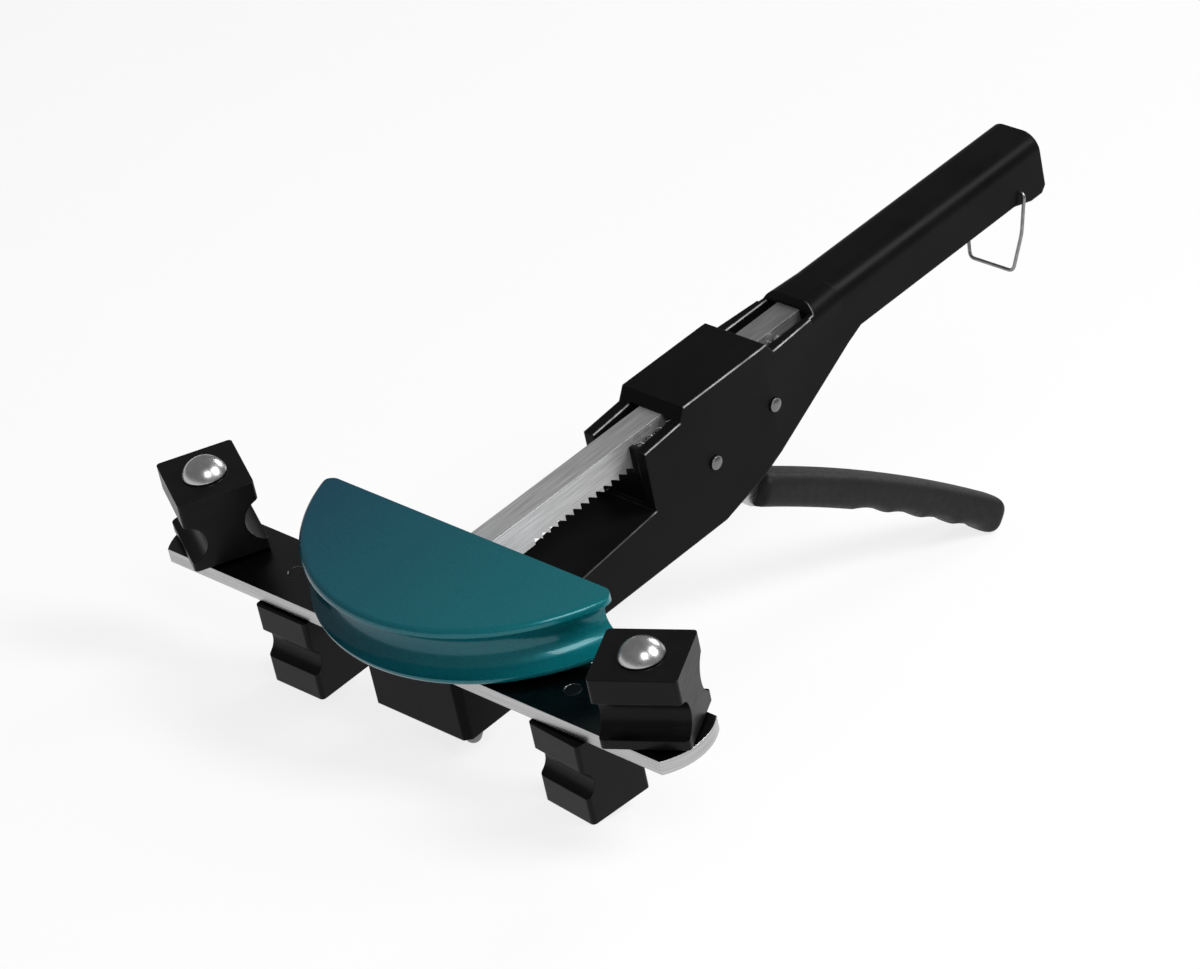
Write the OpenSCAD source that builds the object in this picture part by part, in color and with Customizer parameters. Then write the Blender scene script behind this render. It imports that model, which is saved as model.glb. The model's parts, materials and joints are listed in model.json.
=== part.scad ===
// Ratchet tube bender: a hand-squeezed ratchet pushes a grooved forming die between swivelling guide blocks.
// Millimetres. The tool is drawn flat in its own frame and then stood on its rest points:
// own +X runs along the cross bar, own +Y from the nose to the handle, own +Z up from the bar's top face.

/* [Work] */
// largest work that the fitted die and the upper guide blocks take
work_d = 22.2; // [19:0.1:26]

/* [Cross bar] */
// overall length
bar_l = 320; // [300:1:360]
// width
bar_w = 36; // [30:0.5:42]
// thickness
bar_t = 7; // [5:0.5:10]
// half the spacing of the upper guide pins
upper_x = 136; // [120:0.5:150]
// half the spacing of the lower guide pins
lower_x = 86.5; // [75:0.5:95]

/* [Guide blocks] */
// upper block: length along its grooves
upper_l = 40; // [34:0.5:46]
// upper block: width across its grooves
upper_w = 36; // [32:0.5:44]
// upper block: height
upper_h = 36; // [30:0.5:42]
// swing of the upper blocks as they follow the work
upper_turn = 28; // [0:1:45]
// lower block: length along its grooves
lower_l = 32; // [28:0.5:40]
// lower block: width across its grooves
lower_w = 33; // [28:0.5:40]
// lower block: height
lower_h = 42; // [34:0.5:46]
// swing of the right lower block
lower_turn = -5; // [-20:1:20]

/* [Die and rack] */
// rim radius of the die, which is the bend radius to the middle of the work
bend_r = 95; // [80:0.5:100]
// middle of the bend, behind the bar's middle line
die_y = 58.5; // [30:0.5:120]
// back face of the die, behind the bar's middle line
die_back = 32.5; // [10:0.5:60]
// die thickness
die_h = 29.5; // [24:0.5:34]
// rack width
rack_w = 13.5; // [10:0.5:16]
// rack height over the teeth
rack_h = 16.5; // [12:0.5:20]
// tooth pitch
tooth_p = 5; // [4:0.25:8]

/* [Body] */
// width over the cheeks
body_w = 38; // [32:0.5:46]
// cheek thickness
cheek_t = 6; // [4:0.5:8]
// width of the nose
nose_w = 60; // [50:1:70]
// handle width
grip_w = 30; // [26:0.5:36]
// end of the handle
body_end = 407; // [370:1:440]

/* [Lever] */
// droop of the grip below the rack's line at its front end
lever_a = 31; // [25:0.5:40]
// how much further the curved grip droops at its tip
lever_bend = 10.5; // [4:0.5:14]
// length of the grip along its curve, to the middle of its round tip
lever_grip_l = 182; // [150:1:200]
// depth of the grip
lever_grip_h = 18; // [14:0.5:24]
// width of the grip
lever_grip_w = 22; // [16:0.5:24]
// number of finger grooves under the grip
fingers = 4; // [0:1:6]
// spacing of the finger grooves
finger_p = 27; // [22:0.5:32]
// depth of the finger grooves
finger_h = 1.5; // [1:0.1:3]

/* [Hidden] */
$fn = 64;
// running clearance between a pin and its hole
run = 0.05;
// clearance between faces that slide or pass
gap = 0.3;
// overshoot of a cut past the face that it opens
cut = 1;
// height that a cut open to the top runs to
open_z = 60;
// keeps two outlines from meeting edge on edge
hair = 0.02;

// heights above the bar's top face
washer_t = 1.2;
washer_r = 9;
upper_z = washer_t;
lower_z = -bar_t - washer_t;
groove_z = 17;
die_z = groove_z - die_h / 2;
rack_z = 8.3;
nose_z = -39;
nose_top = -bar_t;
arm_z = -17;
cheek_low = -9;
roof_t = 5;
bridge_z = 30.5;
cheek_top = 24;
handle_top = 29.5;
handle_low = 2;
handle_round = 9;

// stations along the tool, from the bar's middle line
nose_y = -bar_w / 2;
nose_end = bar_w / 2 + gap;
arm_y = 40;
cheek_y = 124;
bay_y = 146;
bridge_y = 152;
bridge_end = 208;
shoulder_y = 205;
shoulder_end = 262;
// the shoulder stands a little proud of the handle that runs out of it
shoulder_x = grip_w / 2 + 0.08;
handle_y = 243;
throat_t = 7;
// lower edge of the body: end of the flat nose, heel below the bay, start of the handle
belly_y = 164;
heel = [192, -32];
grip_y = 272;

// lever and pawls
pivot = [164, -7];
pivot_r = 3;
pin_head_r = 3.4;
pawl_pivot = [206, -1];
pawl_pin_r = 3;
crank_r = 11;
crank_a = 76;
crank_pin_r = 1.8;
crank_pin = [pivot[0] + crank_r * cos(crank_a), pivot[1] + crank_r * sin(crank_a)];
lever_t = 10;
// the part of the arm that runs inside the grip
core_h = 12;
core_t = 9;
grip_from = [197, -48];
tip_r = lever_grip_h / 2 + 0.2;
// first finger groove, from the middle of the round tip
finger_first = 15;

// the grip's curve: its radius, its centre, and the point at angle a round it from upright
curve_r = lever_grip_l / (lever_bend * PI / 180);
curve_c = grip_from - curve_r * [sin(lever_a), cos(lever_a)];
function on_curve(r, a) = curve_c + r * [sin(a), cos(a)];
tip_a = lever_a + lever_bend;
rest_tip = on_curve(curve_r, tip_a);

// guide pins
guide_pin_r = 4;
dome_r = 10.5;
dome_h = 7.5;
flat_r = 8;
flat_h = 4.5;
// corner radius of the guide blocks, seen from above
block_round = 2;
// the lower blocks sit off-centre on their pins
lower_off = [7, -4];

// the handle's end flares downward only: where the flare starts, where it is full, and its lower edge
flare_y = 384;
flare_full = 396;
flare_low = -1.5;
flare_cut = 3;

// bail: its legs run straight down past the handle's flared end and then draw in
bail_wire = 0.9;
bail_pivot = [389.7, 7];
bail_gap = 1.3;
bail_x = grip_w / 2 + bail_gap + bail_wire;
bail_low_x = 13.4;
bail_straight = 20;
bail_l = 40;

// rest points: frontmost corner of the turned lower block, and the round tip of the lever's grip
rest_block = [
    min([for (x = [-1, 1]) (lower_off[0] + x * (lower_l / 2 - block_round)) * sin(lower_turn)])
        + (lower_off[1] - lower_w / 2 + block_round) * cos(lower_turn) - block_round,
    lower_z - lower_h
];
rest_d = rest_tip - rest_block;
tilt = asin(tip_r / norm(rest_d)) - atan2(rest_d[1], rest_d[0]);
floor_s = rest_block[0] * sin(tilt) + rest_block[1] * cos(tilt);

// span of the standing tool along Y: rounded top edge of the die to the lower corner of the handle's end
die_round = 3;
die_front = die_y - bend_r;
span_min = (die_front + die_round) * cos(tilt) - (die_z + die_h - die_round) * sin(tilt) - die_round;
span_max = body_end * cos(tilt) - (flare_low + flare_cut) * sin(tilt);

body();
cross_bar();
bar_screws();
bar_nuts();
upper_pins();
lower_pins();
upper_washers();
lower_washers();
lever_pin();
pawl_pin();
pin_rings();
rack();
die();
die_screw();
rack_stop();
lever_arm();
lever_grip();
crank_pin();
drive_pawl();
holding_pawl();
lever_spring();
drive_spring();
pawl_spring();
upper_block_left();
upper_block_right();
lower_block_left();
lower_block_right();
bail();

// Shared shapes

// stands the tool on its rest points, centred along Y
module stand() {
    translate([0, -(span_min + span_max) / 2, -floor_s]) rotate([tilt, 0, 0]) children();
}

// a flat outline in the side view, [y, z], given width w about the middle plane
module side(w) {
    rotate([90, 0, 90]) translate([0, 0, -w / 2]) linear_extrude(w) children();
}

// a rod along X from x0 to x1 at side-view point p
module rod(p, r, x0, x1) {
    translate([x0, p[0], p[1]]) rotate([0, 90, 0]) cylinder(r = r, h = x1 - x0);
}

// a box from its low corner to its high corner
module box(low, high) {
    translate(low) cube(high - low);
}

// a flat rectangle with round corners, centred
module round_rect(l, w, r) {
    square([l - 2 * r, w], center = true);
    square([l, w - 2 * r], center = true);
    for (x = [-1, 1], y = [-1, 1]) translate([x * (l / 2 - r), y * (w / 2 - r)]) circle(r);
}

// a straight flat arm of width w with round ends, from p to q; its sides lie a hair inside the round ends
module link(p, q, w) {
    d = q - p;
    translate(p) circle(w / 2);
    translate(q) circle(w / 2);
    translate(p) rotate(atan2(d[1], d[0])) translate([0, hair - w / 2]) square([norm(d), w - 2 * hair]);
}

// a low dome of base radius r and height h on the plane z = 0
module dome(r, h) {
    ball = (r * r + h * h) / (2 * h);
    intersection() {
        translate([0, 0, h - ball]) sphere(ball, $fn = 96);
        cylinder(r = r + cut, h = h + cut);
    }
}

// Cross bar and what is on it

module cross_bar() {
    color("silver") stand() difference() {
        translate([0, 0, -bar_t]) linear_extrude(bar_t) bar_outline();
        for (x = [-upper_x, upper_x, -lower_x, lower_x]) bar_hole([x, 0], guide_pin_r);
        for (p = bar_screw_at) {
            bar_hole(p, bar_screw_r);
            translate([p[0], p[1], -bar_head_t]) cylinder(r = bar_head_r + run, h = bar_head_t + cut);
        }
    }
}

// the bar's ends are flat arcs that meet its long edges at a corner
module bar_outline() {
    intersection() {
        square([bar_l + cut, bar_w], center = true);
        union() {
            square([bar_l - 2 * bar_end_r, bar_w + cut], center = true);
            for (x = [-1, 1]) translate([x * (bar_l / 2 - bar_end_r), 0]) circle(bar_end_r, $fn = 120);
        }
    }
}

module bar_hole(p, r) {
    translate([p[0], p[1], -bar_t - cut]) cylinder(r = r + run, h = bar_t + 2 * cut);
}

bar_end_r = 30;
bar_screw_r = 2.5;
bar_screw_at = [[-23, -9], [23, -9]];
bar_head_t = 3;
bar_head_r = 4.5;
nut_h = 4;
nut_r = 4.4;

module bar_screws() {
    color("dimgray") stand() for (p = bar_screw_at) translate([p[0], p[1], 0]) {
        translate([0, 0, -bar_head_t]) cylinder(r = bar_head_r, h = bar_head_t);
        translate([0, 0, nose_z - nut_h]) cylinder(r = bar_screw_r, h = nut_h - nose_z - bar_head_t / 2);
    }
}

module bar_nuts() {
    color("dimgray") stand() for (p = bar_screw_at) translate([p[0], p[1], nose_z - nut_h]) difference() {
        union() {
            cylinder(r = nut_r, h = nut_h);
            intersection() {
                sphere(nut_h);
                translate([0, 0, -nut_h]) cylinder(r = nut_r, h = nut_h);
            }
        }
        cylinder(r = bar_screw_r + run, h = nut_h + cut);
    }
}

// a dome-headed pin standing on the bar; the shank is flush with the bar's far face
module guide_pin(h, head_r, head_h) {
    translate([0, 0, -bar_t]) cylinder(r = guide_pin_r, h = bar_t + washer_t + h + gap);
    translate([0, 0, washer_t + h + gap]) dome(head_r, head_h);
}

module upper_pins() {
    color("gainsboro") stand() for (x = [-upper_x, upper_x]) translate([x, 0, 0]) {
        guide_pin(upper_h, dome_r, dome_h);
    }
}

// the lower heads are small and flat, to stay clear of what the tool stands on
module lower_pins() {
    color("gainsboro") stand() for (x = [-lower_x, lower_x]) translate([x, 0, -bar_t]) rotate([180, 0, 0]) {
        guide_pin(lower_h, flat_r, flat_h);
    }
}

module washer() {
    difference() {
        cylinder(r = washer_r, h = washer_t);
        translate([0, 0, -cut]) cylinder(r = guide_pin_r + run, h = washer_t + 2 * cut);
    }
}

module upper_washers() {
    color("gray") stand() for (x = [-upper_x, upper_x]) translate([x, 0, 0]) washer();
}

module lower_washers() {
    color("gray") stand() for (x = [-lower_x, lower_x]) translate([x, 0, lower_z]) washer();
}

// Guide blocks: a groove in each long side, the wider one toward the die

// a block standing on z = 0 with its middle at off from the pin; each groove is given as its radius, how far
// outside the block's face its middle lies, and its height
module guide_block(size, off, front, back) {
    difference() {
        translate([off[0], off[1], 0]) linear_extrude(size[2]) round_rect(size[0], size[1], block_round);
        translate([0, 0, -cut]) cylinder(r = guide_pin_r + run, h = size[2] + 2 * cut);
        translate([off[0], off[1] - size[1] / 2 - front[1], front[2]]) groove(front[0], size[0]);
        translate([off[0], off[1] + size[1] / 2 + back[1], back[2]]) groove(back[0], size[0]);
    }
}

module groove(r, l) {
    rod([0, 0], r, -l / 2 - cut, l / 2 + cut);
}

module upper_block() {
    front = [work_d * 0.43, 0.7, 14.2];
    back = [work_d / 2 + gap / 2, work_d / 8, groove_z - upper_z];
    guide_block([upper_l, upper_w, upper_h], [0, 0], front, back);
}

module upper_block_left() {
    color("black") stand() translate([-upper_x, 0, upper_z]) rotate([0, 0, -upper_turn]) upper_block();
}

module upper_block_right() {
    color("black") stand() translate([upper_x, 0, upper_z]) rotate([0, 0, upper_turn]) upper_block();
}

// the lower blocks take smaller work once the bar is turned over
module lower_block() {
    front = [work_d * 0.36, 3, lower_h - 21];
    back = [work_d * 0.29, work_d * 0.07, lower_h - 21];
    translate([0, 0, -lower_h]) guide_block([lower_l, lower_w, lower_h], lower_off, front, back);
}

module lower_block_left() {
    color("black") stand() translate([-lower_x, 0, lower_z]) lower_block();
}

module lower_block_right() {
    color("black") stand() translate([lower_x, 0, lower_z]) rotate([0, 0, lower_turn]) lower_block();
}

// Ram: die, rack and what joins them

rack_front = -4;
rack_end = 296;
// travel of the ram from the drawn pose to its front stop
ram_out = 32;
tooth_h = 3;
tooth_first = 62;
tooth_count = 44;
stop_r = 2;
stop_x = rack_w / 2 + 1.45;
stop_y = handle_y + throat_t + stop_r + ram_out + 0.5;
screw_y = 14;

module die() {
    color("teal") stand() difference() {
        translate([0, die_y, die_z]) rotate_extrude($fn = 180) die_section();
        box([-2 * bend_r, die_back, die_z - cut], [2 * bend_r, die_y + 2 * bend_r, die_z + die_h + cut]);
        box([-rack_w / 2 - run, rack_front - run, rack_z - run],
            [rack_w / 2 + run, die_back + cut, rack_z + rack_h + run]);
        translate([0, screw_y, die_z - cut]) cylinder(r = 3 + run, h = rack_z - die_z + 2 * cut);
        for (m = [0, 1]) mirror([m, 0, 0]) die_corner();
    }
}

// what is cut away to round the corner between the die's back and its rim
module die_corner() {
    r = 6;
    c = [sqrt(pow(bend_r - r, 2) - pow(die_y - die_back + r, 2)) + hair, die_back - r + hair];
    out = unit(c - [0, die_y]);
    translate([0, 0, die_z - cut]) linear_extrude(die_h + 2 * cut) difference() {
        polygon([c, [c[0], die_back + cut], [c[0] + 2 * r, die_back + cut], c + 2 * r * out]);
        translate(c) circle(r);
    }
}

// half section of the whole disc that the die is cut from, with rounded rims and the work's groove
module die_section() {
    difference() {
        union() {
            square([bend_r - die_round, die_h]);
            translate([0, die_round]) square([bend_r, die_h - 2 * die_round]);
            for (z = [die_round, die_h - die_round]) translate([bend_r - die_round, z]) circle(die_round);
        }
        translate([bend_r, die_h / 2]) circle(work_d / 2 + gap / 2);
    }
}

// ratchet teeth on the underside: steep faces look back toward the handle
module rack() {
    notches = [for (i = [tooth_count - 1:-1:0]) each [
        [tooth_first + (i + 1) * tooth_p, 0],
        [tooth_first + i * tooth_p + 0.6, tooth_h],
        [tooth_first + i * tooth_p, tooth_h],
        [tooth_first + i * tooth_p, 0]
    ]];
    color("darkgray") stand() difference() {
        side(rack_w) translate([0, rack_z]) polygon(concat(
            [[rack_front, 0], [rack_front, rack_h], [rack_end, rack_h], [rack_end, 0]], notches
        ));
        rod([stop_y, rack_z + rack_h / 2], stop_r + run, -rack_w, rack_w);
        translate([0, screw_y, rack_z - cut]) cylinder(r = 3 + run, h = 8 + cut);
    }
}

module die_screw() {
    color("dimgray") stand() translate([0, screw_y, die_z]) cylinder(r = 3, h = rack_z - die_z + 7);
}

module rack_stop() {
    color("dimgray") stand() rod([stop_y, rack_z + rack_h / 2], stop_r, -stop_x, stop_x);
}

// Body casting

inner_w = body_w - 2 * cheek_t;

module body() {
    color([0.13, 0.13, 0.14]) stand() difference() {
        union() {
            difference() {
                union() {
                    difference() {
                        intersection() {
                            side(nose_w) body_side();
                            translate([0, 0, nose_z - cut]) linear_extrude(100) body_plan();
                        }
                        shoulder_cut();
                    }
                    handle();
                }
                arm_hollow();
                bay_hollow();
                handle_hollow();
            }
            saddle();
        }
        for (p = bar_screw_at) translate([p[0], p[1], nose_z - cut]) {
            cylinder(r = bar_screw_r + run, h = nose_top - nose_z + 2 * cut);
        }
        rod(pivot, pivot_r + run, -body_w, body_w);
        rod(pawl_pivot, pawl_pin_r + run, -body_w, body_w);
        rod(bail_pivot, bail_wire + run, -body_w, body_w);
    }
}

// side view: nose, arm rising toward the cheeks, cheeks with the bridge between two windows
module body_side() {
    polygon([
        [nose_y, nose_z], [belly_y, nose_z], heel, [grip_y, handle_low], [shoulder_end, handle_low + 10],
        [shoulder_end, handle_top], [handle_y + 2, handle_top], [handle_y, cheek_top + 0.5],
        [bridge_end + 4, cheek_top + 0.5],
        [bridge_end, bridge_z], [bridge_y, bridge_z], [bridge_y - 4, cheek_top], [cheek_y, cheek_top - 2],
        [cheek_y, cheek_low], [arm_y, arm_z], [nose_end + 3.7, arm_z], [nose_end, nose_top], [nose_y, nose_top]
    ]);
}

// top view: wide nose, even cheeks, narrowing to the handle
module body_plan() {
    right = [
        [nose_w / 2 - 3, nose_y], [nose_w / 2, nose_y + 3], [nose_w / 2, bar_w / 2], [body_w / 2, arm_y],
        [body_w / 2, shoulder_y], [shoulder_x, shoulder_end], [shoulder_x, grip_y + cut]
    ];
    polygon(concat(right, [for (i = [len(right) - 1:-1:0]) [-right[i][0], right[i][1]]]));
}

// round-topped handle, deeper at its end
module handle() {
    intersection() {
        side(body_w) polygon([
            [handle_y + throat_t + cut, 8], [grip_y, handle_low], [flare_y, handle_low], [flare_full, flare_low],
            [body_end - flare_cut, flare_low], [body_end, flare_low + flare_cut], [body_end, handle_top],
            [handle_y + throat_t + cut, handle_top]
        ]);
        handle_bar(grip_w, handle_top - (shoulder_x - grip_w / 2));
    }
}

// a bar along the tool with round upper corners
module handle_bar(w, top) {
    r = handle_round;
    translate([0, body_end + cut, 0]) rotate([90, 0, 0]) linear_extrude(body_end + cut - handle_y) {
        translate([-w / 2, -20]) square([w, top + 20 - r]);
        translate([-w / 2 + r, -20]) square([w - 2 * r, top + 20]);
        for (x = [-1, 1]) translate([x * (w / 2 - r), top - r]) circle(r);
    }
}

// rounds the upper corners where the body narrows into the handle
module shoulder_cut() {
    r = handle_round;
    slant = atan2(body_w / 2 - shoulder_x, shoulder_end - shoulder_y);
    for (m = [0, 1]) mirror([m, 0, 0]) translate([shoulder_x, shoulder_end, handle_top]) rotate([0, 0, slant]) {
        translate([0, 3, 0]) rotate([90, 0, 0]) linear_extrude(shoulder_end - handle_y + 6) difference() {
            translate([-r, -r]) square(r + 2 * cut);
            translate([-r - hair, -r - hair]) circle(r);
        }
    }
}

// the arm is a channel open below; between the cheeks the front window opens down to the arm's top
module arm_hollow() {
    box([-inner_w / 2, 24, nose_z - cut], [inner_w / 2, bay_y + cut, arm_z - roof_t]);
    box([-inner_w / 2, cheek_y - cut, cheek_low + gap], [inner_w / 2, bridge_y - 4, open_z]);
}

// the bay between the cheeks: open below for the lever, open above in both windows, bridged over the rack
module bay_hollow() {
    bridge_low = rack_z + rack_h + gap;
    box([-inner_w / 2, bay_y, nose_z - cut], [inner_w / 2, handle_y, bridge_low]);
    box([-inner_w / 2, bridge_end + 4, 0], [inner_w / 2, handle_y, open_z]);
}

// cross web that carries and guides the rack at the front of the cheeks
module saddle() {
    difference() {
        union() {
            box([-inner_w / 2 - cut, lug_y, cheek_low - cut], [inner_w / 2 + cut, cheek_y + 16, 15]);
            box([0, lug_y, 0], [inner_w / 2 + cut, lug_y + lug_t, cheek_top - 3]);
        }
        box([-rack_w / 2 - gap, cheek_y, rack_z - gap], [rack_w / 2 + gap, cheek_y + 18, open_z]);
    }
}

// the handle is a channel open below, with a throat that guides the rack
module handle_hollow() {
    box([-rack_w / 2 - gap, handle_y - cut, rack_z - gap],
        [rack_w / 2 + gap, handle_y + throat_t + cut, rack_z + rack_h + gap]);
    box([-stop_x - 0.5, handle_y + throat_t, -40], [stop_x + 0.5, body_end - 6, rack_z + rack_h + gap]);
}

// Pins across the cheeks

module cheek_pin(p, r) {
    rod(p, r, -body_w / 2 - 3, body_w / 2);
    rod(p, pin_head_r, body_w / 2, body_w / 2 + 1.2);
    translate([body_w / 2 + 1.2, p[0], p[1]]) rotate([0, 90, 0]) dome(pin_head_r * 0.9, 0.8);
}

module lever_pin() {
    color("gray") stand() cheek_pin(pivot, pivot_r);
}

module pawl_pin() {
    color("gray") stand() cheek_pin(pawl_pivot, pawl_pin_r);
}

module ring(p, r) {
    difference() {
        rod(p, r + 2.5, -body_w / 2 - 2, -body_w / 2);
        rod(p, r + run, -body_w / 2 - 2 - cut, -body_w / 2 + cut);
    }
}

module pin_rings() {
    color("gray") stand() {
        ring(pivot, pivot_r);
        ring(pawl_pivot, pawl_pin_r);
    }
}

// Lever: a steel arm from the pivot that runs along the curved grip

// a section, [across the curve, along X], swept round the grip's curve between two angles
module sweep(from_a, to_a) {
    translate([0, curve_c[0], curve_c[1]]) rotate([0, 90, 0]) rotate([0, 0, 180 - to_a]) {
        rotate_extrude(angle = to_a - from_a, $fn = 720) translate([curve_r, 0]) children();
    }
}

module lever_arm() {
    color("silver") stand() difference() {
        union() {
            side(lever_t) {
                translate(pivot) circle(10);
                link(pivot, grip_from, core_h + 4);
                link(pivot, crank_pin, 6.8);
            }
            sweep(lever_a, tip_a - 0.5) square([core_h, core_t], center = true);
        }
        rod(pivot, pivot_r + run, -lever_t, lever_t);
        rod(crank_pin, crank_pin_r + run, -lever_t, lever_t);
        pawl_slot();
    }
}

// slot between the lever's two ears where the drive pawl swings
module pawl_slot() {
    box([-3.2, pivot[0] - 16, pivot[1] + 5.2], [3.2, pivot[0] + 14, pivot[1] + 30]);
}

module lever_grip() {
    scoop_r = 32;
    over_a = 1;
    color([0.18, 0.18, 0.19]) stand() difference() {
        sweep(lever_a + 0.1, tip_a + over_a) round_rect(lever_grip_h, lever_grip_w, 7);
        for (i = [0:fingers - 1]) {
            a = tip_a - lever_bend * (finger_first + i * finger_p) / lever_grip_l;
            scoop_c = on_curve(curve_r - lever_grip_h / 2 - scoop_r + finger_h, a);
            side(lever_grip_w + 2 * cut) translate(scoop_c) circle(scoop_r, $fn = 180);
        }
        sweep(lever_a, tip_a - 0.5 + 0.003) square([core_h + 2 * run, core_t + 2 * run], center = true);
        side(lever_t + 2 * run) link(pivot, grip_from, core_h + 4 + 2 * run);
        tip_cut();
    }
}

// rounds the grip's tip in the side view and from above
module tip_cut() {
    translate([0, rest_tip[0], rest_tip[1]]) rotate([-tip_a, 0, 0]) {
        side(2 * lever_grip_w) difference() {
            translate([0, -2 * tip_r]) square(4 * tip_r);
            circle(tip_r);
        }
        translate([0, 0, -2 * tip_r]) linear_extrude(4 * tip_r) difference() {
            translate([-lever_grip_w, 0]) square(2 * lever_grip_w);
            circle(lever_grip_w / 2 + 0.1);
        }
    }
}

module crank_pin() {
    color("gray") stand() rod(crank_pin, crank_pin_r, -lever_t / 2 - 3.5, lever_t / 2 + 3.5);
}

// Pawls, dropped just clear of the teeth

pawl_tip_z = rack_z - 0.8;
pawl_r = 6;
pawl_reach = 17;
pawl_w = 8;

// release tab of the holding pawl, midway between the rack and the right cheek, and the spring that returns it
tab_x = (rack_w + inner_w) / 4;
tab_end = pawl_pivot + [19, 20];
tab_w = 6;
tab_l = 8;
pawl_wire = 0.45;
pawl_coil_r = (inner_w - rack_w) / 4 - gap - pawl_wire;
lug_y = cheek_y + 2;
lug_t = 2.5;

module drive_pawl() {
    tip = [crank_pin[0] - 13, pawl_tip_z];
    color("gray") stand() difference() {
        union() {
            rod(crank_pin, 3.4, -3, 3);
            side(5.8) polygon([
                crank_pin + [-0.5, -2.4], tip + [1, -3.4], tip + [-1, 0], tip + [2, 0], crank_pin + [-0.5, 2.4]
            ]);
        }
        rod(crank_pin, crank_pin_r + run, -lever_t, lever_t);
    }
}

module holding_pawl() {
    tip = [pawl_pivot[0] - pawl_reach, pawl_tip_z];
    color("gray") stand() difference() {
        union() {
            side(pawl_w) {
                translate(pawl_pivot) circle(pawl_r);
                polygon([
                    pawl_pivot + [2, 1 - pawl_r], tip + [1, -4], tip + [-1, 0],
                    tip + [2, 0], pawl_pivot + [2, pawl_r - 1]
                ]);
            }
            rod(pawl_pivot, pawl_r - 0.5, 3, tab_x);
            translate([tab_x, 0, 0]) side(3.5) {
                translate(pawl_pivot) circle(pawl_r);
                link(pawl_pivot + [2, 2], tab_end - [0, tab_l], tab_w);
                link(tab_end - [0, tab_l], tab_end, tab_w);
            }
        }
        rod(pawl_pivot, pawl_pin_r + run, -lever_t, 2 * lever_t);
    }
}

// Torsion springs: one unbroken wire, a straight leg, its turns and a second straight leg

spring_sides = 6;
turn_rings = 8;

// points of a torsion spring about X: r mean radius, pitch along X, legs of length leg at angles a0 and a1
function spring_path(r, pitch, turns, leg, a0) = concat(
    [for (t = [1, 0.5]) [0, r * cos(a0) + leg * t * sin(a0), r * sin(a0) - leg * t * cos(a0)]],
    [for (i = [0:turns * turn_rings]) let (a = a0 + i * 360 / turn_rings)
        [i * pitch / turn_rings, r * cos(a), r * sin(a)]],
    [for (t = [0.5, 1]) let (a = a0 + turns * 360)
        [turns * pitch, r * cos(a) - leg * t * sin(a), r * sin(a) + leg * t * cos(a)]]
);

function unit(v) = v / norm(v);

// a tube of radius r along points pts; rings lie across the mean direction at each point
module wire(pts, r) {
    n = len(pts);
    dirs = [for (i = [0:n - 1]) unit(pts[min(i + 1, n - 1)] - pts[max(i - 1, 0)])];
    rings = [for (i = [0:n - 1]) let (
        s = unit(cross(dirs[i], [1, 0, 0])),
        w = cross(s, dirs[i])
    ) for (k = [0:spring_sides - 1]) let (a = k * 360 / spring_sides)
        pts[i] + r * cos(a) * s + r * sin(a) * w];
    sides = [for (i = [0:n - 2], k = [0:spring_sides - 1]) let (
        a = i * spring_sides + k,
        b = i * spring_sides + (k + 1) % spring_sides
    ) each [[a, b, b + spring_sides], [a, b + spring_sides, a + spring_sides]]];
    last = (n - 1) * spring_sides;
    ends = [for (k = [1:spring_sides - 2]) each [[0, k + 1, k], [last, last + k, last + k + 1]]];
    polyhedron(points = rings, faces = concat(sides, ends));
}

// smallest clear gap between points of the wire that are more than half a turn apart
function self_gap(pts, r) = min([
    for (i = [0:len(pts) - 1], j = [i + 5:1:len(pts) - 1]) norm(pts[i] - pts[j]) - 2 * r
]);

module torsion_spring(p, x, r, wire_r, pitch, turns, leg, a0) {
    pts = spring_path(r, pitch, turns, leg, a0);
    echo(spring_gap = self_gap(pts, wire_r));
    translate([x, p[0], p[1]]) wire(pts, wire_r);
}

// fills the room between the lever and the right cheek with turns, and ends half a turn on
module lever_spring() {
    wire_r = 0.8;
    pitch = 2.2;
    from_x = lever_t / 2 + gap + wire_r;
    turns = floor((inner_w / 2 - gap - wire_r - from_x) / pitch - 0.5) + 0.5;
    coil_r = pivot_r + gap + wire_r;
    color("lightgray") stand() torsion_spring(pivot, from_x, coil_r, wire_r, pitch, turns, 12, 60);
}

module drive_spring() {
    wire_r = 0.4;
    from_x = lever_t / 2 + gap + wire_r;
    coil_r = crank_pin_r + 2 * wire_r;
    color("lightgray") stand() torsion_spring(crank_pin, from_x, coil_r, wire_r, 1.3, 1.5, 5, 200);
}

// lies along the rack, from the lug on the saddle to the release tab
module pawl_spring() {
    turns = 14;
    leg = 1.5;
    from_y = lug_y + lug_t + gap;
    pitch = (tab_end[0] - tab_w / 2 - gap - from_y - 2 * pawl_wire) / turns;
    pts = spring_path(pawl_coil_r, pitch, turns, leg, 0);
    echo(spring_gap = self_gap(pts, pawl_wire));
    color("lightgray") stand() translate([tab_x, from_y + pawl_wire, tab_end[1]]) rotate([0, 0, 90]) {
        wire(pts, pawl_wire);
    }
}

// Bail: hangs plumb from the handle's end

module bail() {
    right = [[10.5, 0], [bail_x, 0], [bail_x, -bail_straight], [bail_low_x, -bail_l], [-cut, -bail_l]];
    color([0.25, 0.25, 0.26]) stand() translate([0, bail_pivot[0], bail_pivot[1]]) rotate([-tilt, 0, 0]) {
        for (m = [0, 1]) mirror([m, 0, 0]) for (i = [0:len(right) - 2]) bail_run(right[i], right[i + 1], i);
    }
}

// one straight run of the bail's wire between two points in its own plane, with a ball at the bend before it
module bail_run(p, q, i) {
    d = q - p;
    translate([p[0], 0, p[1]]) {
        rotate([0, 90 - atan2(d[1], d[0]), 0]) cylinder(r = bail_wire, h = norm(d));
        if (i > 0) sphere(bail_wire + hair);
    }
}
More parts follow.
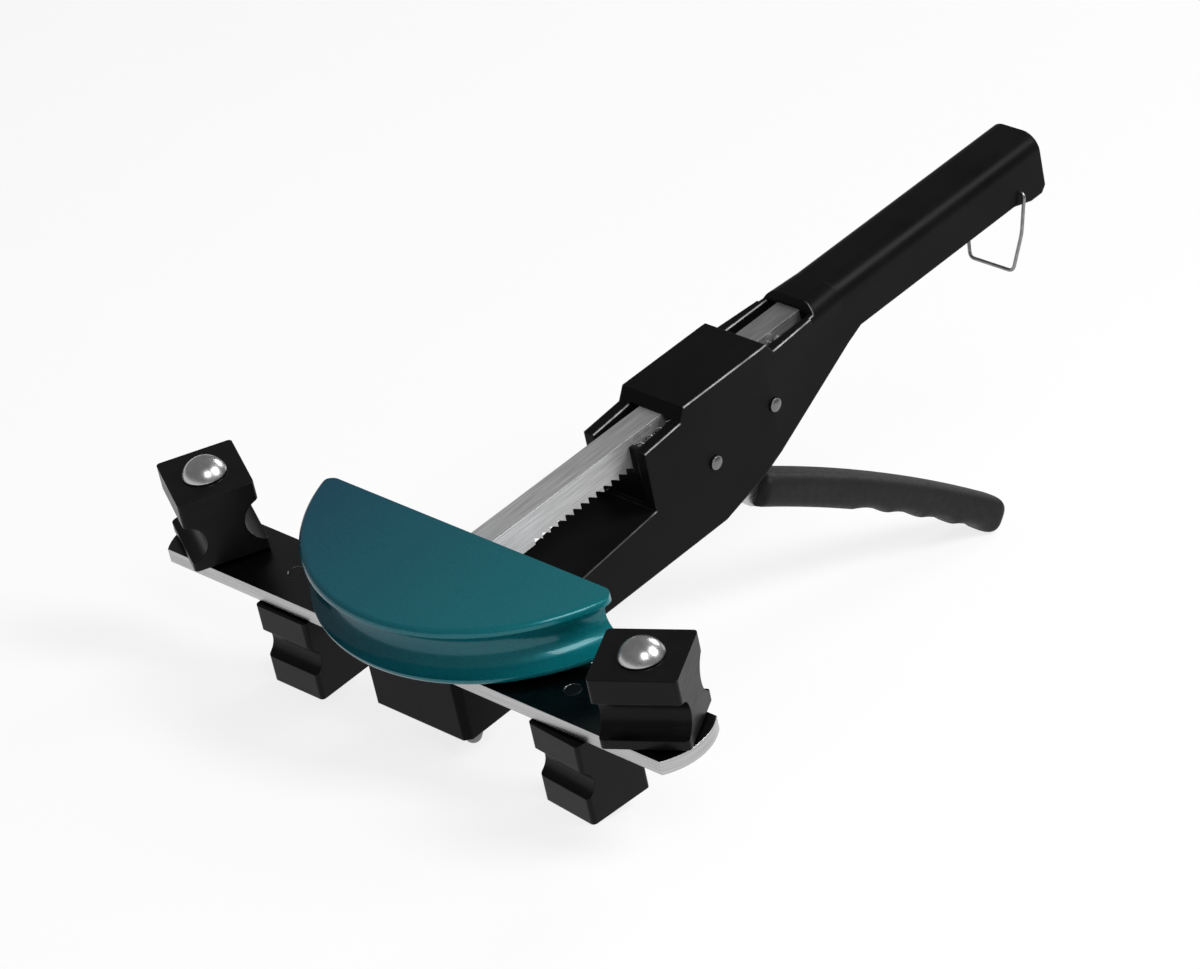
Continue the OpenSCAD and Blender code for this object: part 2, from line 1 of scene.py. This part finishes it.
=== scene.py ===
"""Looks of a ratchet tube bender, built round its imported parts: finishes, softened edges, dome heads,
bail, rubber grip, floor, light and camera. Metres and radians; the tool's own axes run along the bar (x),
from the nose to the handle (y) and up from the bar's top face (z)."""

import json
import math

import bmesh
import bpy
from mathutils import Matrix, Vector


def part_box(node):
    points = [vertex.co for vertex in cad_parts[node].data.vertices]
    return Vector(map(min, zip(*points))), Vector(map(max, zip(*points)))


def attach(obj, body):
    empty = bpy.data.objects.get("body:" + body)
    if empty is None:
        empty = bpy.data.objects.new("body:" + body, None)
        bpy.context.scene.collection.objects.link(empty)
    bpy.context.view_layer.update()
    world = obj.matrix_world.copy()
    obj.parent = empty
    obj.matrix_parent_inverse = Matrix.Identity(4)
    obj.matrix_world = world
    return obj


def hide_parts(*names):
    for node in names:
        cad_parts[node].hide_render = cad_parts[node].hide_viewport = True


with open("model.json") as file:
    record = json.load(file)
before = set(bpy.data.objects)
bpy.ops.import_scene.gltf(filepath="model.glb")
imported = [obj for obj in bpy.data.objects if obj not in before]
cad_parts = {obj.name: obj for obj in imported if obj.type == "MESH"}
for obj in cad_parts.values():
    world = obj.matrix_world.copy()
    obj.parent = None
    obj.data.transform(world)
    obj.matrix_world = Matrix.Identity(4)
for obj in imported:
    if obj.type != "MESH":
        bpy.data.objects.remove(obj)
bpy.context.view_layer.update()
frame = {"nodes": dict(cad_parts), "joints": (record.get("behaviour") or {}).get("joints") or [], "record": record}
nodes = frame["nodes"]
joints = {joint["name"]: joint for joint in frame["joints"]}

# The tool's own axes in the row frame

own_x = Vector((1, 0, 0))
own_y = Vector(joints["ram_slide"]["axis"]).normalized()
own_z = own_x.cross(own_y)
upper_pivots = [Vector(joints[f"upper_{side}_swivel"]["pos_m"]) for side in ("left", "right")]
own_origin = (upper_pivots[0] + upper_pivots[1]) / 2
lean = math.atan2(own_y.z, own_y.y)


def own(x, y, z):
    """A point of the tool's own frame, in the row frame."""
    return own_origin + x * own_x + y * own_y + z * own_z


def station(y):
    """Distance of a point at y on the tool's own middle line, along own y from the row frame's origin."""
    return own(0, y, 0).dot(own_y)


# Materials


class Finish:
    """A node material: constant values on the shader, and textures laid out in the tool's own axes."""

    def __init__(self, name, **constants):
        self.material = bpy.data.materials.new(name)
        self.material.use_nodes = True
        self.tree = self.material.node_tree
        self.shader = self.tree.nodes["Principled BSDF"]
        for socket, value in constants.items():
            self.shader.inputs[socket.replace("_", " ")].default_value = value
        self.coords = self.node("ShaderNodeTexCoord")
        turn = self.node("ShaderNodeMapping")
        turn.inputs["Rotation"].default_value = (-lean, 0, 0)
        self.join(self.coords.outputs["Object"], turn.inputs["Vector"])
        self.own = turn.outputs["Vector"]
        self.rounded = None

    def node(self, kind, **settings):
        """A new node of a kind, with its settings."""
        made = self.tree.nodes.new(kind)
        for key, value in settings.items():
            setattr(made, key, value)
        return made

    def join(self, source, socket):
        """Links a node's output to a socket."""
        self.tree.links.new(source, socket)

    def noise(self, size, detail=3.0, stretch=(1, 1, 1)):
        """Noise with features about size across, drawn out by stretch along the own axes."""
        place = self.node("ShaderNodeMapping")
        place.inputs["Scale"].default_value = [1 / (size * s) for s in stretch]
        self.join(self.own, place.inputs["Vector"])
        texture = self.node("ShaderNodeTexNoise")
        texture.inputs["Scale"].default_value = 1
        texture.inputs["Detail"].default_value = detail
        self.join(place.outputs["Vector"], texture.inputs["Vector"])
        return texture.outputs["Fac"]

    def value(self, source, low, high, start=0.3, end=0.7):
        """A number from low to high as source goes from start to end."""
        made = self.node("ShaderNodeMapRange")
        made.inputs["From Min"].default_value = start
        made.inputs["From Max"].default_value = end
        made.inputs["To Min"].default_value = low
        made.inputs["To Max"].default_value = high
        self.join(source, made.inputs["Value"])
        return made.outputs["Result"]

    def color(self, source, low, high, start=0.3, end=0.7):
        """A colour from low to high as source goes from start to end."""
        return self.mix(self.value(source, 0, 1, start, end), low, high)

    def mix(self, share, low, high):
        """The colours low and high mixed by share; each is a colour or a node's output."""
        made = self.node("ShaderNodeMix", data_type="RGBA")
        self.join(share, made.inputs["Factor"])
        # the node's sockets share their names, so its colour ones are taken by number
        for socket, given in ((made.inputs[6], low), (made.inputs[7], high)):
            if isinstance(given, tuple):
                socket.default_value = (*given, 1)
            else:
                self.join(given, socket)
        return made.outputs[2]

    def math(self, operation, a, b):
        """Two numbers combined; each is a number or a node's output."""
        made = self.node("ShaderNodeMath", operation=operation)
        for socket, given in zip(made.inputs, (a, b)):
            if isinstance(given, (int, float)):
                socket.default_value = given
            else:
                self.join(given, socket)
        return made.outputs[0]

    def product(self, *factors):
        """Two or more numbers multiplied."""
        made = factors[0]
        for factor in factors[1:]:
            made = self.math("MULTIPLY", made, factor)
        return made

    def place(self, axis):
        """Distance along one of the tool's own axes, from the row frame's origin."""
        made = self.node("ShaderNodeSeparateXYZ")
        self.join(self.own, made.inputs["Vector"])
        return made.outputs[axis]

    def facing(self, direction):
        """How far the surface faces a direction: 1 straight on, 0 square to it, below 0 behind."""
        return self.dot(self.coords.outputs["Normal"], direction)

    def dot(self, a, b):
        """Dot product of two vectors; each is a vector or a node's output."""
        made = self.node("ShaderNodeVectorMath", operation="DOT_PRODUCT")
        for socket, given in zip(made.inputs, (a, b)):
            if isinstance(given, Vector):
                socket.default_value = given
            else:
                self.join(given, socket)
        return made.outputs["Value"]

    def eased(self, radius):
        """The surface's direction with its hard edges rounded to the radius."""
        made = self.node("ShaderNodeBevel", samples=8)
        made.inputs["Radius"].default_value = radius
        return made.outputs["Normal"]

    def edges(self, radius, sharp=0.8):
        """1 on edges sharper than the radius, 0 on plain faces; a higher sharp takes in softer edges."""
        flat = self.node("ShaderNodeNewGeometry").outputs["True Normal"]
        plain = 0.985
        return self.value(self.dot(self.eased(radius), flat), 1, 0, sharp, plain)

    def round_off(self, radius):
        """Shades hard edges as if they were rounded to the radius."""
        self.rounded = self.eased(radius)
        self.join(self.rounded, self.shader.inputs["Normal"])

    def bump(self, height, distance, strength):
        """Raises the surface by height, on top of its rounded edges."""
        made = self.node("ShaderNodeBump")
        made.inputs["Distance"].default_value = distance
        made.inputs["Strength"].default_value = strength
        self.join(height, made.inputs["Height"])
        if self.rounded:
            self.join(self.rounded, made.inputs["Normal"])
        self.join(made.outputs["Normal"], self.shader.inputs["Normal"])

    def set(self, socket, source):
        """Drives one of the shader's sockets by a node's output."""
        self.join(source, self.shader.inputs[socket])


def body_paint():
    """Satin black paint on a casting: fine orange peel, cloudy gloss, edges a little lighter all round (partly
    rubbed wear, partly painted sheen), and a painted highlight, a light grey line where the right side meets the
    top, from the cheeks to the handle."""
    finish = Finish("body_paint", Specular_IOR_Level=0.05)
    cloud = finish.noise(0.03, 4)
    patchy = finish.value(finish.noise(0.006, 4), 0.35, 1.0)
    # edges a little lighter all round: partly rubbed wear, partly a painted edge sheen
    wear_and_sheen = finish.product(finish.edges(0.0009), patchy)
    # painted highlight: a light grey line painted along the eased edges that face up and to the right, from the
    # cheeks to the handle, where a lamp would glint
    rim = 0.0014
    to_upper_right = (own_x + own_z).normalized()
    lit_upper_right = finish.value(finish.dot(finish.eased(rim), to_upper_right), 0, 1, 0.8, 0.9)
    cheeks = station(0.124)
    handle = station(0.254)
    fade = 0.004
    behind = finish.value(finish.place("Y"), 0.15, 1, cheeks - fade, cheeks)
    before = finish.value(finish.place("Y"), 1, 0, handle - fade, handle)
    bright = finish.product(lit_upper_right, finish.edges(rim, 0.93), patchy, behind, before)
    black = finish.color(cloud, (0.0038, 0.0038, 0.0040), (0.0056, 0.0056, 0.0059))
    rubbed_and_sheened = finish.mix(wear_and_sheen, black, (0.035, 0.035, 0.036))
    # the painted highlight's light grey is laid over the black here
    finish.set("Base Color", finish.mix(bright, rubbed_and_sheened, (0.6, 0.6, 0.605)))
    finish.set("Roughness", finish.value(cloud, 0.3, 0.37))
    finish.round_off(0.0012)
    finish.bump(finish.noise(0.0011, 2), 0.00005, 0.3)
    return finish.material


def block_plastic():
    """Black moulded plastic: nearly polished on top, satin with faint flow marks on the sides."""
    finish = Finish("block_plastic", Specular_IOR_Level=0.13)
    cloud = finish.noise(0.012, 4)
    flow = finish.noise(0.0012, 2, (8, 8, 1))
    finish.set("Base Color", finish.color(cloud, (0.0028, 0.0028, 0.003), (0.0048, 0.0048, 0.005)))
    top = finish.value(finish.facing(own_z), 0, 1, 0.9, 0.97)
    satin = finish.value(flow, 0.3, 0.38)
    finish.set("Roughness", finish.math("SUBTRACT", satin, finish.product(top, 0.14)))
    finish.round_off(0.0007)
    finish.bump(finish.noise(0.0009, 3), 0.00003, 0.25)
    return finish.material


def die_finish():
    """Glossy teal with a fine metal fleck under a thin clear coat; painted light and shade make it darker and
    bluer toward the left end, lighter and greener toward the right.
    """
    coat = {"Coat_Weight": 0.5, "Coat_Roughness": 0.08}
    finish = Finish("die_finish", Metallic=0.25, Specular_IOR_Level=0.1, **coat)
    fleck = finish.noise(0.0007, 2)
    # painted light and shade: the left end is painted a darker blue, the right end a lighter green, as light falls
    # across the die
    shaded_blue = finish.color(fleck, (0.002, 0.056, 0.094), (0.004, 0.072, 0.114))
    lit_green = finish.color(fleck, (0.002, 0.140, 0.164), (0.004, 0.166, 0.188))
    die_low, die_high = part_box("die")
    painted_light_rightward = finish.value(finish.place("X"), 0, 1, die_low.x, die_high.x)
    finish.set("Base Color", finish.mix(painted_light_rightward, shaded_blue, lit_green))
    finish.set("Roughness", finish.value(finish.noise(0.004, 4), 0.24, 0.3))
    finish.bump(fleck, 0.00002, 0.2)
    return finish.material


def rack_steel():
    """Ground steel with its grain along the rack, darkened by painted shade toward the rear, where it runs in
    under the cheeks and bridge.
    """
    finish = Finish("rack_steel", Metallic=0.45)
    grain = finish.noise(0.0004, 3, (1, 60, 1))
    # painted shade: the rack's colour darkens toward the rear, where the cheeks and bridge shade it
    unshaded = finish.color(grain, (0.32, 0.32, 0.325), (0.62, 0.62, 0.625))
    painted_shade = finish.color(grain, (0.10, 0.10, 0.102), (0.24, 0.24, 0.243))
    shade_start = station(0.06)
    shade_full = station(0.24)
    rearward = finish.value(finish.place("Y"), 0, 1, shade_start, shade_full)
    finish.set("Base Color", finish.mix(rearward, unshaded, painted_shade))
    finish.set("Roughness", finish.value(grain, 0.33, 0.47))
    finish.round_off(0.0003)
    finish.bump(grain, 0.00001, 0.2)
    return finish.material


def ground_steel(name, tone, rough, stretch):
    """Ground steel with its grain along the longest stretch."""
    finish = Finish(name, Metallic=1.0)
    grain = finish.noise(0.0004, 3, stretch)
    cloud = finish.noise(0.008, 4)
    dark = tuple(0.72 * c for c in tone)
    light = tuple(1.18 * c for c in tone)
    streaks = finish.color(grain, dark, light)
    finish.set("Base Color", finish.mix(finish.value(cloud, 0.25, 0.75), streaks, tone))
    finish.set("Roughness", finish.value(grain, rough - 0.07, rough + 0.07))
    finish.round_off(0.0003)
    finish.bump(grain, 0.00001, 0.2)
    return finish.material


def bar_steel():
    """Flat bar: its top and bottom faces painted near-black, a painted dark reflection; bright ground steel on its
    edges.
    """
    finish = Finish("bar_steel", Metallic=1.0)
    grain = finish.noise(0.0005, 2, (80, 80, 2))
    # painted reflection: faces that look straight up or down get a near-black steel colour, the edges a bright one
    flat = finish.math("ABSOLUTE", finish.facing(own_z), 0)
    dark = finish.color(grain, (0.035, 0.035, 0.037), (0.05, 0.05, 0.052))
    bright = finish.color(grain, (0.40, 0.40, 0.405), (0.54, 0.54, 0.545))
    finish.set("Base Color", finish.mix(finish.value(flat, 0, 1, 0.9, 0.98), bright, dark))
    finish.set("Roughness", finish.value(grain, 0.24, 0.32))
    finish.round_off(0.0006)
    return finish.material


def chrome():
    """Polished dome heads with faint wipe marks."""
    finish = Finish("chrome", Metallic=1.0)
    cloud = finish.noise(0.004, 4)
    finish.set("Base Color", finish.color(cloud, (0.46, 0.46, 0.465), (0.58, 0.58, 0.585)))
    finish.set("Roughness", finish.value(cloud, 0.24, 0.3))
    return finish.material


def rubber():
    """Matte dark grey rubber with a fine grain."""
    finish = Finish("rubber", Specular_IOR_Level=0.2)
    cloud = finish.noise(0.02, 4)
    finish.set("Base Color", finish.color(cloud, (0.0062, 0.0062, 0.007), (0.0094, 0.0094, 0.0102)))
    finish.set("Roughness", finish.value(finish.noise(0.003, 3), 0.5, 0.62))
    finish.bump(finish.noise(0.0007, 2), 0.00006, 0.4)
    return finish.material


def plain_wire():
    """Drawn wire, dulled."""
    finish = Finish("plain_wire", Metallic=1.0)
    cloud = finish.noise(0.003, 3)
    finish.set("Base Color", finish.color(cloud, (0.20, 0.20, 0.205), (0.32, 0.32, 0.325)))
    finish.set("Roughness", finish.value(cloud, 0.28, 0.4))
    return finish.material


by_slot = {
    "body_paint": body_paint(),
    "block": block_plastic(),
    "die_finish": die_finish(),
    "rack_steel": rack_steel(),
    "lever_steel": ground_steel("lever_steel", (0.50, 0.50, 0.505), 0.3, (1, 30, 4)),
    "fastener": ground_steel("fastener", (0.19, 0.19, 0.195), 0.3, (1, 1, 1)),
    "spring": ground_steel("spring", (0.62, 0.62, 0.62), 0.24, (1, 1, 1)),
    "bar_steel": bar_steel(),
    "dome": chrome(),
    "grip": rubber(),
    "wire": plain_wire(),
}
# the lower pins' shanks end flush with the bar's top and take the near-black of its painted dark reflection
by_node = {"lower_pins": ground_steel("dark_pin", (0.05, 0.05, 0.052), 0.4, (1, 1, 1))}

for part in frame["record"]["subparts"]:
    mesh = nodes[part["node"]].data
    mesh.materials.clear()
    mesh.materials.append(by_node.get(part["node"], by_slot[part["material_slot"]]))

# Edges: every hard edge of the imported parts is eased, so that it catches the light

# bevel widths; nodes that aren't listed get fine_edge
edge_width = {
    "body": 0.0008,
    "cross_bar": 0.0005,
    "die": 0.0006,
    "rack": 0.00025,
    "lever_arm": 0.0005,
    "holding_pawl": 0.0003,
    "upper_block_left": 0.0006,
    "upper_block_right": 0.0006,
    "lower_block_left": 0.0006,
    "lower_block_right": 0.0006,
}
fine_edge = 0.00015
# corners closer than this are merged, more coarsely where the bevel is wider than wide_edge
wide_edge = 0.0007
wide_weld = 0.0001
fine_weld = 0.00001
flat_angle = math.radians(0.5)
sharp_angle = math.radians(32)
round_nodes = {"bail", "lever_spring", "drive_spring", "pawl_spring"}


def ease_edges(obj, width):
    """Merges the imported corners, clears flat faces of spare edges and rounds what is left sharp."""
    weld = obj.modifiers.new("weld", "WELD")
    weld.merge_threshold = wide_weld if width > wide_edge else fine_weld
    flat = obj.modifiers.new("flat", "DECIMATE")
    flat.decimate_type = "DISSOLVE"
    flat.angle_limit = flat_angle
    bevel = obj.modifiers.new("edges", "BEVEL")
    bevel.width = width
    bevel.segments = 2
    bevel.limit_method = "ANGLE"
    bevel.angle_limit = sharp_angle
    bevel.use_clamp_overlap = True
    normals = obj.modifiers.new("normals", "WEIGHTED_NORMAL")
    normals.keep_sharp = True


for name, obj in nodes.items():
    obj.data.shade_smooth()
    if name not in round_nodes:
        ease_edges(obj, edge_width.get(name, fine_edge))

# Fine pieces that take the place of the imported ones


def add_piece(name, mesh, body, node, slot):
    """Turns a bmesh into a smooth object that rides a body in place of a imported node."""
    bmesh.ops.recalc_face_normals(mesh, faces=mesh.faces)
    data = bpy.data.meshes.new(name)
    mesh.to_mesh(data)
    mesh.free()
    data.shade_smooth()
    data.materials.append(by_slot[slot])
    obj = bpy.data.objects.new(name, data)
    bpy.context.scene.collection.objects.link(obj)
    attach(obj, body)
    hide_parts(node)


def skin(mesh, rings):
    """Faces between rings of points, each ring a closed loop, with a cap at both ends."""
    loops = [[mesh.verts.new(point) for point in ring] for ring in rings]
    count = len(loops[0])
    for front, back in zip(loops, loops[1:]):
        for k in range(count):
            n = (k + 1) % count
            mesh.faces.new((front[k], front[n], back[n], back[k]))
    mesh.faces.new(loops[0])
    mesh.faces.new(reversed(loops[-1]))


def circle(count):
    """Cosine and sine of evenly spaced angles round a circle."""
    turns = [2 * math.pi * k / count for k in range(count)]
    return [(math.cos(a), math.sin(a)) for a in turns]


# Upper guide pins: a shank and a domed head with an eased rim

pin_x = 0.136
pin_r = 0.004
pin_low = -0.007
head_z = 0.0375
head_r = 0.0105
head_h = 0.0075
head_rings = 28
pin_sides = 64
# the head's flat underside stops short of the rim, which is rounded in one small step
rim_in = 0.0004
rim_step = 0.0001
# radius of the last ring, at the top of the head
top_r = 0.00005


def pin_profile():
    """Radius and height up the pin, from the foot of the shank to the top of the head."""
    ball = (head_r ** 2 + head_h ** 2) / (2 * head_h)
    widest = math.asin(head_r / ball)
    points = [(pin_r, pin_low), (pin_r, head_z)]
    points += [(head_r - rim_in, head_z), (head_r - rim_step, head_z + rim_step)]
    for i in range(1, head_rings):
        angle = widest * (1 - i / head_rings)
        points.append((ball * math.sin(angle), head_z + head_h - ball + ball * math.cos(angle)))
    points.append((top_r, head_z + head_h))
    return points


pins = bmesh.new()
for x in (-pin_x, pin_x):
    skin(pins, [[own(x + r * c, r * s, z) for c, s in circle(pin_sides)] for r, z in pin_profile()])
add_piece("guide_pins", pins, "frame", "upper_pins", "dome")

# Bail: one bent wire, hanging plumb from the handle's end

bail_pivot = Vector(joints["bail_hinge"]["pos_m"])
bail_wire = 0.0009
bail_bend = 0.003
bail_sides = 20
bail_half = ((0.0105, 0), (0.0172, 0), (0.0172, -0.020), (0.0134, -0.040))
bail_path = [Vector(p) for p in bail_half] + [Vector((-x, z)) for x, z in reversed(bail_half)]


def bent(path, radius, steps=8):
    """The path with its corners rounded: each corner becomes a curve between points at radius from it."""
    points = [path[0]]
    for before, corner, after in zip(path, path[1:], path[2:]):
        start = corner + (before - corner).normalized() * radius
        end = corner + (after - corner).normalized() * radius
        for i in range(steps + 1):
            t = i / steps
            points.append(start * (1 - t) ** 2 + corner * 2 * t * (1 - t) + end * t ** 2)
    return points + [path[-1]]


def wire_rings(points, radius, sides):
    """Rings of a round wire along points of the plane x, z."""
    rings = []
    for i, point in enumerate(points):
        along = (points[min(i + 1, len(points) - 1)] - points[max(i - 1, 0)]).normalized()
        across = Vector((-along.y, along.x))
        ring = [(point + radius * c * across, radius * s) for c, s in circle(sides)]
        rings.append([bail_pivot + Vector((at.x, out, at.y)) for at, out in ring])
    return rings


bail = bmesh.new()
skin(bail, wire_rings(bent(bail_path, bail_bend), bail_wire, bail_sides))
add_piece("bent_bail", bail, "bail", "bail", "wire")

# Grip: a moulded rubber sleeve along the lever's curve, with finger grooves below

grip_front = (0.197, -0.048)
grip_droop = math.radians(31)
grip_bend = math.radians(10.5)
grip_length = 0.182
grip_depth = 0.018
grip_width = 0.022
grip_tip = 0.0092
grip_lip = 0.004
lip_ease = 0.12
# below 1 the section is squarer than an ellipse
grip_square = 0.62
finger_count = 4
finger_first = 0.015
finger_pitch = 0.027
finger_depth = 0.0015
finger_round = 0.8
# how fast the grooves deepen round the underside
finger_wrap = 1.6
# depth of the section at the front and at the tip, as shares of the plain depth
front_share = 0.94
tip_share = 1.02
grip_rings = 150
grip_sides = 48

curve_radius = grip_length / grip_bend
curve_centre = (
    grip_front[0] - curve_radius * math.sin(grip_droop),
    grip_front[1] - curve_radius * math.cos(grip_droop),
)


def finger_groove(s):
    """Depth of the finger grooves at distance s along the curve; the outer two end after half a pitch."""
    from_tip = (grip_length - s - finger_first) / finger_pitch
    if not -0.5 < from_tip < finger_count - 0.5:
        return 0.0
    return finger_depth * max(0.0, math.cos(math.pi * (from_tip - round(from_tip)))) ** finger_round


def grip_scale(s):
    """How full the section is at distance s: a soft lip in front and a round tip."""
    if s < grip_lip:
        return 1 - lip_ease * (1 - s / grip_lip) ** 2
    if s > grip_length:
        return math.sqrt(max(0.0, 1 - ((s - grip_length) / grip_tip) ** 2))
    return 1.0


def grip_point(s, turn):
    """A point of the sleeve's skin, in the row frame."""
    angle = grip_droop + grip_bend * s / grip_length
    across, up = math.cos(turn), math.sin(turn)
    x = grip_width / 2 * math.copysign(abs(across) ** grip_square, across)
    rise = grip_depth / 2 * math.copysign(abs(up) ** grip_square, up)
    if up < 0:
        rise += finger_groove(s) * min(1.0, -finger_wrap * up)
    fullness = grip_scale(s)
    share = front_share + (tip_share - front_share) * min(1.0, s / grip_length)
    r = curve_radius + rise * fullness * share
    return own(x * fullness, curve_centre[0] + r * math.sin(angle), curve_centre[1] + r * math.cos(angle))


def grip_stations():
    """Distances along the curve of the sleeve's rings, closer together toward the tip."""
    start = 0.0018
    tip_gap = 0.00005
    end = grip_length + grip_tip - tip_gap
    crowding = 0.9
    shares = [math.sin(math.pi / 2 * i / (grip_rings - 1)) ** crowding for i in range(grip_rings)]
    return [start + (end - start) * share for share in shares]


grip_turns = [2 * math.pi * k / grip_sides for k in range(grip_sides)]
grip = bmesh.new()
skin(grip, [[grip_point(s, turn) for turn in grip_turns] for s in grip_stations()])
add_piece("grip_sleeve", grip, "lever", "lever_grip", "grip")

# Stage: pale floor, soft light

floor_mesh = bpy.data.meshes.new("floor")
floor_reach = 12
floor_corners = [(x * floor_reach, y * floor_reach, 0) for x, y in ((-1, -1), (1, -1), (1, 1), (-1, 1))]
floor_mesh.from_pydata(floor_corners, [], [(0, 1, 2, 3)])
floor = bpy.data.objects.new("floor", floor_mesh)
bpy.context.scene.collection.objects.link(floor)
floor_finish = Finish("floor", Roughness=0.9, Specular_IOR_Level=0.1)
pale = floor_finish.color(floor_finish.noise(0.5, 2), (0.90, 0.90, 0.90), (0.92, 0.92, 0.92))
floor_finish.set("Base Color", pale)
floor_mesh.materials.append(floor_finish.material)

# seen straight on or in a reflection, the floor is mostly plain white, with the shadows left faint
floor_white = 0.8
path = floor_finish.node("ShaderNodeLightPath")
seen = path.outputs["Is Camera Ray"]
for ray in ("Is Glossy Ray", "Is Transmission Ray"):
    seen = floor_finish.math("MAXIMUM", seen, path.outputs[ray])
white = floor_finish.node("ShaderNodeEmission")
faded = floor_finish.node("ShaderNodeMixShader")
floor_finish.join(floor_finish.product(seen, floor_white), faded.inputs["Fac"])
floor_finish.join(floor_finish.shader.outputs["BSDF"], faded.inputs[1])
floor_finish.join(white.outputs["Emission"], faded.inputs[2])
surface = floor_finish.tree.nodes["Material Output"].inputs["Surface"]
floor_finish.join(faded.outputs["Shader"], surface)

sky_level = 0.24
world = bpy.data.worlds.new("studio")
bpy.context.scene.world = world
world.use_nodes = True
sky = world.node_tree.nodes["Background"]
sky.inputs["Color"].default_value = (1, 1, 1, 1)
sky.inputs["Strength"].default_value = sky_level


def soft_box(name, position, target, size, power):
    """A square lamp at position, turned to target."""
    lamp = bpy.data.lights.new(name, "AREA")
    lamp.shape = "SQUARE"
    lamp.size = size
    lamp.energy = power
    obj = bpy.data.objects.new(name, lamp)
    obj.location = position
    obj.rotation_mode = "QUATERNION"
    obj.rotation_quaternion = (Vector(target) - Vector(position)).to_track_quat("-Z", "Y")
    bpy.context.scene.collection.objects.link(obj)


middle = (0, 0, 0.1)
soft_box("key", (1.3, 0.6, 1.75), middle, 0.9, 36)
soft_box("fill", (1.3, -1.05, 1.65), middle, 0.8, 14)
soft_box("rim", (-0.4, 1.8, 1.3), middle, 0.8, 12)

# Camera: fitted to the photograph, whose frame is 1200 by 969

camera_angle = 13.164
camera_place = (1.48576, -1.63049, 0.9558)
camera_turn = (68.2231, -1.7516, 44.2694)
camera_data = bpy.data.cameras.new("camera")
camera_data.sensor_fit = "HORIZONTAL"
camera_data.angle = math.radians(camera_angle)
camera = bpy.data.objects.new("camera", camera_data)
camera.location = camera_place
camera.rotation_euler = [math.radians(a) for a in camera_turn]
bpy.context.scene.collection.objects.link(camera)
bpy.context.scene.camera = camera
bpy.context.scene.view_settings.view_transform = "Standard"
